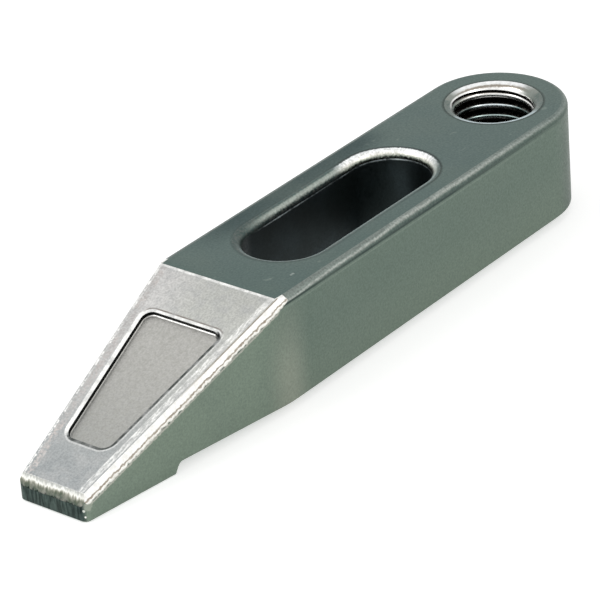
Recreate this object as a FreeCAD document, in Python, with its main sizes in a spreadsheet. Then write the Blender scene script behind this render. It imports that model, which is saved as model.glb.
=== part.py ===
"""Strap clamp: one drop forging with a tapered nose, a stud slot and a tapped heel.

Frame: +X runs from the round heel to the nose, +Z is up, and Y = 0 is the plane of
symmetry. The origin is below the middle of the length, level with the nose pad, the
lowest face. Lengths are in millimetres.
"""
import FreeCAD, Part
import os

import Sketcher

# Driving dimensions: name, value, and what it measures.
SIZES = [
    ("length", 163.0, "heel end to nose tip"),
    ("width", 31.75, "across the parallel sides; the heel is half a circle of it"),
    ("height", 23.8, "underside to top face"),
    ("top_round", 1.3, "round along the top edges"),
    ("bottom_break", 0.4, "chamfer along the bottom edges"),
    ("taper_length", 54.4, "tip back to where the sides start to draw in"),
    ("bend_round", 30.0, "radius of that bend, in plan"),
    ("tip_width", 17.2, "across the tip, before its corners are rounded"),
    ("tip_height", 5.65, "height of the blunt tip, before its edge is bevelled"),
    ("tip_round", 1.7, "upright corners of the tip"),
    ("slope_length", 53.3, "tip back to the break line, level"),
    ("bevel_inset", 1.0, "bevel round the sloping face, level"),
    ("bevel_fall", 2.2, "the same bevel, down the sides and the tip"),
    ("pad_length", 23.3, "tip back to the foot of the step"),
    ("pad_drop", 1.75, "nose pad below the underside"),
    ("belly_rise", 0.4, "rise of the underside from the bend to the step"),
    ("step_run", 1.2, "slant of the step, level"),
    ("step_round", 1.5, "inside round at the top of the step"),
    ("slot_width", 18.1, "stud slot, wall to wall"),
    ("slot_travel", 34.5, "between the centres of the slot's round ends"),
    ("slot_setback", 37.6, "heel hole to the nearer of those centres"),
    ("slot_round", 1.8, "round of the slot's upper rim"),
    ("slot_break", 0.8, "chamfer of the slot's lower rim"),
    ("tap_drill", 16.7, "heel hole before its 3/4-10 thread is cut"),
    ("mouth_round", 2.3, "round of the heel hole's mouths, top and bottom"),
    ("panel_setback", 11.6, "break line to the recessed panel, down the slope"),
    ("panel_length", 33.5, "length of the panel, down the slope"),
    ("panel_head", 19.6, "width of the panel at its upper end"),
    ("panel_foot", 10.6, "width of the panel at its lower end"),
    ("panel_depth", 0.9, "depth of the panel"),
    ("panel_corner", 2.2, "corners of the panel, in its plane"),
    ("panel_round", 0.4, "round where the panel's walls meet its floor"),
    ("overrun", 10.0, "how far a cutting outline runs past the metal"),
]

# Places worked out from them: name, formula, and what is there.
PLACES = [
    ("half_width", "=width / 2", "a parallel side"),
    ("tip_x", "=length / 2", "the tip"),
    ("heel_x", "=(width - length) / 2", "axis of the heel and of its hole"),
    ("bend_x", "=length / 2 - taper_length", "bend of the sides"),
    ("draw_in", "=atan((width - tip_width) / 2 / taper_length)", "turn of a side there"),
    ("bend_reach", "=bend_round * tan(draw_in / 2)", "corner to each end of its round"),
    ("bend_start_x", "=bend_x - bend_reach", "start of that round"),
    ("bend_end_x", "=bend_x + bend_reach * cos(draw_in)", "its end"),
    ("bend_end_y", "=width / 2 - bend_reach * sin(draw_in)", "its end"),
    ("break_x", "=length / 2 - slope_length", "break line"),
    ("step_foot_x", "=length / 2 - pad_length", "foot of the step"),
    ("step_head_x", "=length / 2 - pad_length - step_run", "top of the step"),
    ("top_z", "=pad_drop + height", "top face"),
    ("belly_z", "=pad_drop + belly_rise", "underside at the step"),
    ("half_tip", "=tip_width / 2", "a side at the tip"),
    ("slope_angle", "=atan((pad_drop + height - tip_height) / slope_length)", "slope"),
    ("bevel_x", "=length / 2 - bevel_inset", "front bevel's upper edge"),
    ("bevel_head_z", "=tip_height + bevel_inset * tan(slope_angle)", "the same edge"),
    ("bevel_foot_z", "=tip_height - bevel_fall", "front bevel's lower edge"),
    ("before_bend_x", "=length / 2 - taper_length - overrun", "where the side bevels start"),
    ("start_y", "=width / 2 + overrun * tan(draw_in)", "line of a tapered side there"),
    ("start_z", "=top_z + (break_x - before_bend_x) * tan(slope_angle)", "slope's line there"),
    ("start_outer_y", "=start_y + 5 * bevel_inset", "bevel cut, outside"),
    ("start_inner_y", "=start_y - 6 * bevel_inset", "inside"),
    ("start_upper_z", "=start_z + 5 * bevel_fall", "above"),
    ("start_lower_z", "=start_z - 6 * bevel_fall", "below"),
    ("end_y", "=half_tip - overrun * tan(draw_in)", "line of a side past the tip"),
    ("end_z", "=tip_height - overrun * tan(slope_angle)", "slope's line there"),
    ("end_outer_y", "=end_y + 5 * bevel_inset", "bevel cut, outside"),
    ("end_inner_y", "=end_y - 6 * bevel_inset", "inside"),
    ("end_upper_z", "=end_z + 5 * bevel_fall", "above"),
    ("end_lower_z", "=end_z - 6 * bevel_fall", "below"),
    ("half_slot", "=slot_width / 2", "a wall of the slot"),
    ("near_slot_x", "=(width - length) / 2 + slot_setback", "slot's end by the heel"),
    ("far_slot_x", "=(width - length) / 2 + slot_setback + slot_travel", "its other end"),
    ("tap_radius", "=tap_drill / 2", "wall of the heel hole"),
    ("panel_end", "=panel_setback + panel_length", "lower end of the panel"),
    ("half_head", "=panel_head / 2", "a side of the panel at its upper end"),
    ("half_foot", "=panel_foot / 2", "a side of the panel at its lower end"),
    ("past_tip_x", "=length / 2 + overrun", "clear of the tip"),
    ("past_heel_x", "=-length / 2 - overrun", "clear of the heel"),
    ("past_top_z", "=pad_drop + height + overrun", "clear of the top"),
    ("past_pad_z", "=-overrun", "clear of the pad"),
    ("pad_z", "=0", "the nose pad, on which the frame stands"),
]

SAME = 1e-4                      # two lengths closer than this are equal
START, END, CENTRE = 1, 2, 3     # the numbers of a sketch element's points
X_AXIS = -1                      # the number of a sketch's own X axis


def make_sheet(doc):
    """Write every size and place into a spreadsheet cell that bears its name."""
    sheet = doc.addObject("Spreadsheet::Sheet", "Sizes")
    for row, (name, content, meaning) in enumerate(SIZES + PLACES, start=1):
        sheet.set("A%d" % row, meaning)
        sheet.set("B%d" % row, str(content))
        sheet.setAlias("B%d" % row, name)
    doc.recompute()
    return sheet


class Forging:
    """A PartDesign body whose features are bound to the sheet by cell names.

    A name with a minus sign in front stands for the negative of its cell.
    """

    def __init__(self, doc, sheet, label):
        self.doc = doc
        self.sheet = sheet
        self.body = doc.addObject("PartDesign::Body", label)
        self.body.Label = label

    def number(self, name):
        """Return the value of a named cell."""
        value = getattr(self.sheet, name.lstrip("-"))
        value = float(getattr(value, "Value", value))
        return -value if name.startswith("-") else value

    def bind(self, feature, path, name):
        """Bind a property, or a numbered constraint, to a named cell."""
        sign = "-" if name.startswith("-") else ""
        feature.setExpression(path, sign + "Sizes." + name.lstrip("-"))

    def origin_plane(self, role):
        """Return one of the body's own origin planes, such as XY_Plane."""
        return next(f for f in self.body.Origin.OriginFeatures if f.Role == role)

    def sketch_on(self, plane, label):
        """Start a sketch that lies flat on a plane of the body."""
        sketch = self.body.newObject("Sketcher::SketchObject", label)
        sketch.AttachmentSupport = (plane, [""])
        sketch.MapMode = "FlatFace"
        sketch.Visibility = False
        return sketch

    def constrain(self, sketch, name, kind, *where):
        """Add a sketch constraint whose value is a named cell."""
        index = sketch.addConstraint(Sketcher.Constraint(kind, *where, self.number(name)))
        self.bind(sketch, "Constraints[%d]" % index, name)

    def draw_outline(self, sketch, corners, arcs=None):
        """Draw a closed outline of straight lines and bulging arcs.

        Args:
            sketch: the sketch to draw in.
            corners: (x, y) cell names, listed anticlockwise.
            arcs: for each corner where an arc starts, the x of the arc's centre.
                Its chord is never level, so that fixes the centre.
        """
        arcs = arcs or {}
        spots = [FreeCAD.Vector(self.number(x), self.number(y), 0) for x, y in corners]
        count = len(spots)
        for here, start in enumerate(spots):
            end = spots[(here + 1) % count]
            if here in arcs:
                chord = end - start
                outward = FreeCAD.Vector(chord.y, -chord.x, 0).normalize()
                middle = (start + end) * 0.5
                centre = middle + outward * ((self.number(arcs[here]) - middle.x) / outward.x)
                crown = centre + outward * (start - centre).Length
                sketch.addGeometry(Part.Arc(start, crown, end), False)
            else:
                sketch.addGeometry(Part.LineSegment(start, end), False)
        for here in range(count):
            following = (here + 1) % count
            join = Sketcher.Constraint("Coincident", here, END, following, START)
            sketch.addConstraint(join)
        for here, (x, y) in enumerate(corners):
            self.constrain(sketch, x, "DistanceX", here, START)
            self.constrain(sketch, y, "DistanceY", here, START)
        for here, centre_x in arcs.items():
            self.constrain(sketch, centre_x, "DistanceX", here, CENTRE)

    def extrude(self, kind, sketch, label, depth=None, both_ways=False):
        """Pad or pocket a sketch, to a named depth or through everything."""
        feature = self.body.newObject(kind, label)
        feature.Profile = sketch
        if depth is None:
            feature.Type = "ThroughAll"
        else:
            self.bind(feature, "Length", depth)
        if both_ways:
            feature.SideType = "Symmetric"
        return self.settle(feature)

    def dress(self, kind, label, size, test):
        """Fillet or chamfer, to a named size, every edge that passes a test."""
        base = self.body.Tip
        edges = ["Edge%d" % n for n, e in enumerate(base.Shape.Edges, start=1) if test(e)]
        if not edges:
            raise RuntimeError(label + " finds no edge")
        feature = self.body.newObject(kind, label)
        feature.Base = (base, edges)
        self.bind(feature, "Radius" if kind.endswith("Fillet") else "Size", size)
        return self.settle(feature)

    def settle(self, feature):
        """Recompute, and stop if the new feature failed or changed nothing."""
        before = feature.BaseFeature.Shape.Volume if feature.BaseFeature else 0.0
        self.doc.recompute()
        shape = feature.Shape
        if {"Invalid", "Error"} & set(feature.State) or shape.isNull() or not shape.isValid():
            raise RuntimeError(feature.Label + " failed")
        if abs(shape.Volume - before) < SAME:
            raise RuntimeError(feature.Label + " changes nothing")
        return feature


def within(edge, low, high):
    """Tell whether an edge lies in the box between two corners."""
    box = edge.BoundBox
    return all(
        start > least - SAME and end < most + SAME
        for start, end, least, most in (
            (box.XMin, box.XMax, low[0], high[0]),
            (box.YMin, box.YMax, low[1], high[1]),
            (box.ZMin, box.ZMax, low[2], high[2]),
        )
    )


def upright_at(edge, x, half_y):
    """Tell whether an edge stands upright at one x, on either side."""
    box = edge.BoundBox
    upright = box.XLength < SAME and box.YLength < SAME and box.ZLength > SAME
    return upright and abs(box.XMin - x) < SAME and abs(abs(box.YMin) - half_y) < SAME


def add_blank(forging):
    """A half-round heel, parallel sides and a nose that draws in, with a round top edge."""
    number = forging.number
    plan = forging.sketch_on(forging.origin_plane("XY_Plane"), "plan")
    corners = [
        ("heel_x", "half_width"),
        ("heel_x", "-half_width"),
        ("bend_start_x", "-half_width"),
        ("bend_end_x", "-bend_end_y"),
        ("tip_x", "-half_tip"),
        ("tip_x", "half_tip"),
        ("bend_end_x", "bend_end_y"),
        ("bend_start_x", "half_width"),
    ]
    arcs = {0: "heel_x", 2: "bend_start_x", 6: "bend_start_x"}
    forging.draw_outline(plan, corners, arcs)
    forging.extrude("PartDesign::Pad", plan, "blank", depth="top_z")
    forging.dress("PartDesign::Fillet", "tip_corners", "tip_round",
                  lambda e: upright_at(e, number("tip_x"), number("half_tip")))
    forging.dress("PartDesign::Fillet", "top_edges", "top_round",
                  lambda e: abs(e.BoundBox.ZMin - number("top_z")) < SAME)


def add_underside(forging):
    """The relief under the strap that leaves a pad under the nose."""
    number = forging.number
    relief = forging.sketch_on(forging.origin_plane("XZ_Plane"), "relief_profile")
    corners = [
        ("past_heel_x", "past_pad_z"),
        ("step_foot_x", "past_pad_z"),
        ("step_foot_x", "pad_z"),
        ("step_head_x", "belly_z"),
        ("bend_x", "pad_drop"),
        ("past_heel_x", "pad_drop"),
    ]
    forging.draw_outline(relief, corners)
    forging.extrude("PartDesign::Pocket", relief, "relief", both_ways=True)
    head = (number("step_head_x"), number("belly_z"))
    forging.dress("PartDesign::Fillet", "step_head", "step_round",
                  lambda e: within(e, (head[0], -number("width"), head[1]),
                                   (head[0], number("width"), head[1])))


def add_slope(forging):
    """The sloping face of the nose and the bevel round it."""
    slope = forging.sketch_on(forging.origin_plane("XZ_Plane"), "slope_profile")
    corners = [
        ("break_x", "top_z"),
        ("bevel_x", "bevel_head_z"),
        ("tip_x", "bevel_foot_z"),
        ("past_tip_x", "bevel_foot_z"),
        ("past_tip_x", "past_top_z"),
        ("break_x", "past_top_z"),
    ]
    forging.draw_outline(slope, corners)
    forging.extrude("PartDesign::Pocket", slope, "slope", both_ways=True)

    # The bevel of a side edge follows the taper, and runs out where the slope starts.
    sections = []
    for end, x in (("start", "before_bend_x"), ("end", "past_tip_x")):
        section = forging.sketch_on(forging.origin_plane("YZ_Plane"), "bevel_" + end)
        forging.bind(section, "AttachmentOffset.Base.z", x)
        corners = [
            (end + "_inner_y", end + "_upper_z"),
            (end + "_outer_y", end + "_lower_z"),
            (end + "_outer_y", end + "_upper_z"),
        ]
        forging.draw_outline(section, corners)
        sections.append(section)
    bevel = forging.body.newObject("PartDesign::SubtractiveLoft", "side_bevel")
    bevel.Profile = sections[0]
    bevel.Sections = sections[1:]
    bevel.Ruled = True
    forging.settle(bevel)
    other = forging.body.newObject("PartDesign::Mirrored", "other_bevel")
    other.Originals = [bevel]
    other.MirrorPlane = (forging.origin_plane("XZ_Plane"), [""])
    forging.body.Tip = other
    forging.settle(other)


def break_foot(forging):
    """A small chamfer along the outline of the underside, step and all."""
    number = forging.number

    def follows_outline(edge):
        box = edge.BoundBox
        crosses = box.YMin < -SAME and box.YMax > SAME and box.XLength < SAME
        at_tip = abs(box.XMax - number("tip_x")) < SAME
        return box.ZMax < number("belly_z") + SAME and (at_tip or not crosses)

    forging.dress("PartDesign::Chamfer", "foot_break", "bottom_break", follows_outline)


def add_slot(forging):
    """The stud slot, with a generous round on its upper rim."""
    number = forging.number
    slot = forging.sketch_on(forging.origin_plane("XY_Plane"), "slot_plan")
    corners = [
        ("near_slot_x", "half_slot"),
        ("near_slot_x", "-half_slot"),
        ("far_slot_x", "-half_slot"),
        ("far_slot_x", "half_slot"),
    ]
    forging.draw_outline(slot, corners, arcs={0: "near_slot_x", 2: "far_slot_x"})
    forging.extrude("PartDesign::Pocket", slot, "stud_slot", both_ways=True)
    half = number("half_slot")
    low, high = number("near_slot_x") - half, number("far_slot_x") + half
    for kind, label, size, z in (
        ("PartDesign::Fillet", "slot_rim", "slot_round", number("top_z")),
        ("PartDesign::Chamfer", "slot_foot", "slot_break", number("pad_drop")),
    ):
        forging.dress(kind, label, size,
                      lambda e: within(e, (low, -half, z), (high, half, z)))


def add_heel_hole(forging):
    """The heel's hole at tap drill size, with rounded mouths."""
    number = forging.number
    hole = forging.sketch_on(forging.origin_plane("XY_Plane"), "hole_plan")
    centre = FreeCAD.Vector(number("heel_x"), 0, 0)
    up = FreeCAD.Vector(0, 0, 1)
    radius = number("tap_radius")
    circle = hole.addGeometry(Part.Circle(centre, up, radius), False)
    hole.addConstraint(Sketcher.Constraint("PointOnObject", circle, CENTRE, X_AXIS))
    forging.constrain(hole, "heel_x", "DistanceX", circle, CENTRE)
    forging.constrain(hole, "tap_radius", "Radius", circle)
    forging.extrude("PartDesign::Pocket", hole, "heel_hole", both_ways=True)
    low = (centre.x - radius, -radius, number("pad_drop"))
    high = (centre.x + radius, radius, number("top_z"))
    forging.dress("PartDesign::Fillet", "hole_mouths", "mouth_round",
                  lambda e: within(e, low, high) and e.BoundBox.ZLength < SAME)


def add_panel(forging):
    """The shallow panel, left bare, that is pressed into the sloping face."""
    number = forging.number
    plane = forging.body.newObject("PartDesign::Plane", "slope_plane")
    plane.AttachmentSupport = (forging.origin_plane("XY_Plane"), [""])
    plane.MapMode = "FlatFace"
    tilt = FreeCAD.Rotation(FreeCAD.Vector(0, 1, 0), number("slope_angle"))
    plane.AttachmentOffset = FreeCAD.Placement(FreeCAD.Vector(), tilt)
    forging.bind(plane, "AttachmentOffset.Base.x", "break_x")
    forging.bind(plane, "AttachmentOffset.Base.z", "top_z")
    forging.bind(plane, "AttachmentOffset.Rotation.Angle", "slope_angle")
    plane.Visibility = False

    panel = forging.sketch_on(plane, "panel_outline")
    corners = [
        ("panel_setback", "half_head"),
        ("panel_setback", "-half_head"),
        ("panel_end", "-half_foot"),
        ("panel_end", "half_foot"),
    ]
    forging.draw_outline(panel, corners)
    forging.extrude("PartDesign::Pocket", panel, "panel", depth="panel_depth")

    up = tilt.multVec(FreeCAD.Vector(0, 0, 1))
    crest = FreeCAD.Vector(number("break_x"), 0, number("top_z"))

    def depths(edge):
        """How far under the sloping face an edge starts and ends."""
        return [(crest - v.Point).dot(up) for v in edge.Vertexes]

    def joins_floor(edge):
        reach = number("panel_depth")
        return min(depths(edge)) < SAME and abs(max(depths(edge)) - reach) < SAME

    forging.dress("PartDesign::Fillet", "panel_corners", "panel_corner",
                  lambda e: joins_floor(e) and abs(e.Length - number("panel_depth")) < SAME)
    forging.dress("PartDesign::Fillet", "panel_floor", "panel_round",
                  lambda e: all(abs(d - number("panel_depth")) < SAME for d in depths(e)))


def main():
    """Model the clamp, check it and write it out."""
    doc = FreeCAD.newDocument("strap_clamp")
    forging = Forging(doc, make_sheet(doc), "clamp_strap")
    add_blank(forging)
    add_underside(forging)
    add_slope(forging)
    break_foot(forging)
    add_slot(forging)
    add_heel_hole(forging)
    add_panel(forging)

    for item in doc.Objects:
        if {"Invalid", "Error"} & set(item.State):
            raise RuntimeError(item.Label + " is in error")
    shape = forging.body.Shape
    if shape.isNull() or not shape.isValid() or len(shape.Solids) != 1:
        raise RuntimeError("the clamp isn't one sound solid")
    os.makedirs("parts", exist_ok=True)
    shape.exportStep(os.path.join("parts", forging.body.Label + ".step"))


main()
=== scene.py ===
"""Strap clamp: a satin drop forging with a ground nose, a stud slot and a tapped heel.

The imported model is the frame. One finished piece stands for its only node: the same
form, with its edges softened and the heel's thread cut. Lengths in the dataclasses are
in millimetres, and turn into metres as the meshes and the materials are made.
"""

import logging
import math
from collections.abc import Iterable
from dataclasses import dataclass, field
from enum import IntEnum

import bmesh
import bpy
from mathutils import Matrix, Vector


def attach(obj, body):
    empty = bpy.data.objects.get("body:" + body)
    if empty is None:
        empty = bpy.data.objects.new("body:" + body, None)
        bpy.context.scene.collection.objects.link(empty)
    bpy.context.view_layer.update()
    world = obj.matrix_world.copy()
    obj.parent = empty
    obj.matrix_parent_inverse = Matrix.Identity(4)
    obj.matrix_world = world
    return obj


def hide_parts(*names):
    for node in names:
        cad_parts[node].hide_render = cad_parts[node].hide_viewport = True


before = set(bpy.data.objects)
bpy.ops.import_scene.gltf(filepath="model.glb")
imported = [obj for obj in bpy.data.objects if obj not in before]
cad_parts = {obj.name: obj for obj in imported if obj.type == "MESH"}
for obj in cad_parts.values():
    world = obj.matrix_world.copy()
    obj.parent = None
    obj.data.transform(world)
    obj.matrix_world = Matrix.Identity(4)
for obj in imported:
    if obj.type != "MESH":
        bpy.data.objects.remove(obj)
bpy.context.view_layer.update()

MM = 0.001
SOFT_MM = 0.1
WELD_MM = 0.001
VIEW_BEARING = 40.181
PIXELS = 600
SENSOR_MM = 36.0

Rgb = tuple[float, float, float]
Point = tuple[float, float, float]
Span = tuple[float, float]
Stops = tuple[tuple[float, Rgb], ...]
Socket = bpy.types.NodeSocket
Line = tuple[Socket, Socket, float, float, Rgb]
log = logging.getLogger("strap_clamp")


class Region(IntEnum):
    """The surfaces of the clamp, numbered as its material slots."""

    SKIN = 0
    LONG_EDGE = 1
    SLOT_RIM = 2
    GROUND = 3
    BEVEL = 4
    PANEL = 5
    PANEL_WALL = 6
    SLOT = 7
    THREAD = 8


@dataclass(frozen=True)
class Form:
    """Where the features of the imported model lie.

    Attributes:
        top_z: level of the top face.
        foot_z: level of the main underside.
        top_round: round of the long top edges.
        break_x: where the sloping face starts.
        tip_x: the tip.
        tip_height: level of the sloping face at the tip.
        bend_x: bend of the sides.
        bevel_fall: height of the bevel round the sloping face.
        panel_depth: depth of the recessed panel.
        panel_x: middle of its length.
        panel_half: half its length, along the strap.
        panel_half_width: half its width in the middle.
        panel_taper: how fast that draws in towards the tip.
        panel_corner: round of its corners.
        edge_taper: how fast the sloping face's long edges draw in towards the tip.
        edge_offset: where the far one would meet the YZ plane.
        slot_near_x: axis of the slot's end by the heel.
        slot_far_x: axis of its other end.
        slot_half: half the slot's width.
        slot_round: round of the slot's upper rim.
        hole_x: axis of the heel's hole.
        hole_radius: radius of the hole drilled for tapping.
        mouth_round: round of both of its mouths.
        run_in: how deep each mouth stays smooth before the thread's groove starts.
        run_in_lean: how much deeper or less deep that is to both sides.
    """

    top_z: float = 25.55
    foot_z: float = 1.75
    top_round: float = 1.3
    break_x: float = 28.2
    tip_x: float = 81.5
    tip_height: float = 5.65
    bend_x: float = 27.1
    bevel_fall: float = 2.2
    panel_depth: float = 0.9
    panel_x: float = 54.75
    panel_half: float = 15.69
    panel_half_width: float = 7.55
    panel_taper: float = 0.1434
    panel_corner: float = 2.2
    edge_taper: float = 0.1337
    edge_offset: float = 18.5
    slot_near_x: float = -28.025
    slot_far_x: float = 6.475
    slot_half: float = 9.05
    slot_round: float = 1.8
    hole_x: float = -65.625
    hole_radius: float = 8.35
    mouth_round: float = 2.3
    run_in: float = 1.15
    run_in_lean: float = 0.45

    @property
    def slope(self) -> Vector:
        """The outward normal of the sloping face."""
        drop, run = self.top_z - self.tip_height, self.tip_x - self.break_x
        return Vector((drop, 0.0, run)).normalized()

    @property
    def crest(self) -> Vector:
        """A point of the line where the sloping face starts."""
        return Vector((self.break_x, 0.0, self.top_z))

    @property
    def bevel_depth(self) -> float:
        """How far under the sloping face its bevel ends."""
        return self.bevel_fall * self.slope.z

    @property
    def mouth_radius(self) -> float:
        """Radius of the hole's mouths."""
        return self.hole_radius + self.mouth_round

    def under_slope(self, point: Vector) -> float:
        """Return how far a point lies under the sloping face."""
        return (self.crest - point).dot(self.slope)

    def by_panel(self, point: Vector) -> bool:
        """Tell whether a point of the sloping face lies in or close round the panel."""
        off = abs(point.x - self.panel_x)
        return off < self.panel_half + 1.0 and abs(point.y) < self.panel_half_width + 2.65

    def from_slot(self, point: Vector) -> float:
        """Return how far a point lies from the line between the axes of the slot's ends."""
        near = min(max(point.x, self.slot_near_x), self.slot_far_x)
        return math.hypot(point.x - near, point.y)

    def from_hole(self, point: Vector) -> float:
        """Return how far a point lies from the axis of the heel's hole."""
        return math.hypot(point.x - self.hole_x, point.y)


FORM = Form()


def linear(colour: Rgb) -> tuple[float, float, float, float]:
    """Turn a colour as it shows on a screen, 0 to 255, into scene light.

    Args:
        colour: red, green and blue, 0 to 255.

    Returns:
        The linear red, green and blue, with an alpha of 1.
    """
    parts = []
    for value in colour:
        share = value / 255.0
        parts.append(share / 12.92 if share <= 0.04045 else ((share + 0.055) / 1.055) ** 2.4)
    return (parts[0], parts[1], parts[2], 1.0)


class Nodes:
    """The node tree of a material or a world, with short calls to add and wire its nodes."""

    def __init__(self, owner: bpy.types.Material | bpy.types.World) -> None:
        owner.use_nodes = True
        self.tree = owner.node_tree
        self.tree.nodes.clear()

    def add(self, kind: str, inputs: dict | None = None, **settings) -> bpy.types.Node:
        """Add a node.

        Args:
            kind: the node's type, without its ShaderNode prefix.
            inputs: a value or another node's socket for each named or numbered input.
            **settings: properties of the node itself.

        Returns:
            The new node.
        """
        node = self.tree.nodes.new("ShaderNode" + kind)
        for name, value in settings.items():
            setattr(node, name, value)
        for key, value in (inputs or {}).items():
            if isinstance(value, Socket):
                self.tree.links.new(value, node.inputs[key])
            else:
                node.inputs[key].default_value = value
        return node

    def flat(self, colour: Rgb) -> Socket:
        """Return one colour, given as it shows on a screen."""
        node = self.add("RGB")
        node.outputs[0].default_value = linear(colour)
        return node.outputs[0]

    def math(self, operation: str, *values: Socket | float) -> Socket:
        """Return one number worked out from others."""
        return self.add("Math", dict(enumerate(values)), operation=operation).outputs[0]

    def ramp(self, value: Socket, span: Span, to: Span = (0.0, 1.0)) -> Socket:
        """Map one span of a value smoothly to another, and hold it at the ends."""
        inputs = {"Value": value, 1: span[0], 2: span[1], 3: to[0], 4: to[1]}
        node = self.add("MapRange", inputs, interpolation_type="SMOOTHSTEP")
        return node.outputs["Result"]

    def blend(self, share: Socket, first: Socket | Rgb, second: Socket | Rgb) -> Socket:
        """Blend two colours by a share from 0, the first, to 1, the second."""
        first, second = (
            colour if isinstance(colour, Socket) else linear(colour) for colour in (first, second)
        )
        mix = self.add("Mix", {"Factor": share, 6: first, 7: second}, data_type="RGBA")
        return mix.outputs[2]

    def bands(self, value: Socket, stops: Stops) -> Socket:
        """Return the colour at a value from 0 to 1 among a row of colours.

        Args:
            value: where to look.
            stops: the place of each colour, in rising order, and the colour.

        Returns:
            The colour there.
        """
        node = self.add("ValToRGB", {"Fac": value})
        elements = node.color_ramp.elements
        elements.remove(elements[1])
        elements[0].position, elements[0].color = stops[0][0], linear(stops[0][1])
        for place, colour in stops[1:]:
            elements.new(place).color = linear(colour)
        return node.outputs["Color"]

    def seen(self) -> Socket:
        """Return 1 for a ray that comes from the camera, or by way of a gloss or glass."""
        path = self.add("LightPath").outputs
        seen = self.math("MAXIMUM", path["Is Camera Ray"], path["Is Glossy Ray"])
        return self.math("MAXIMUM", seen, path["Is Transmission Ray"])

    def finish(self, shader: bpy.types.Node, output: str = "OutputMaterial") -> None:
        """Wire a shader to the tree's output."""
        self.add(output, {"Surface": shader.outputs[0]})


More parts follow.
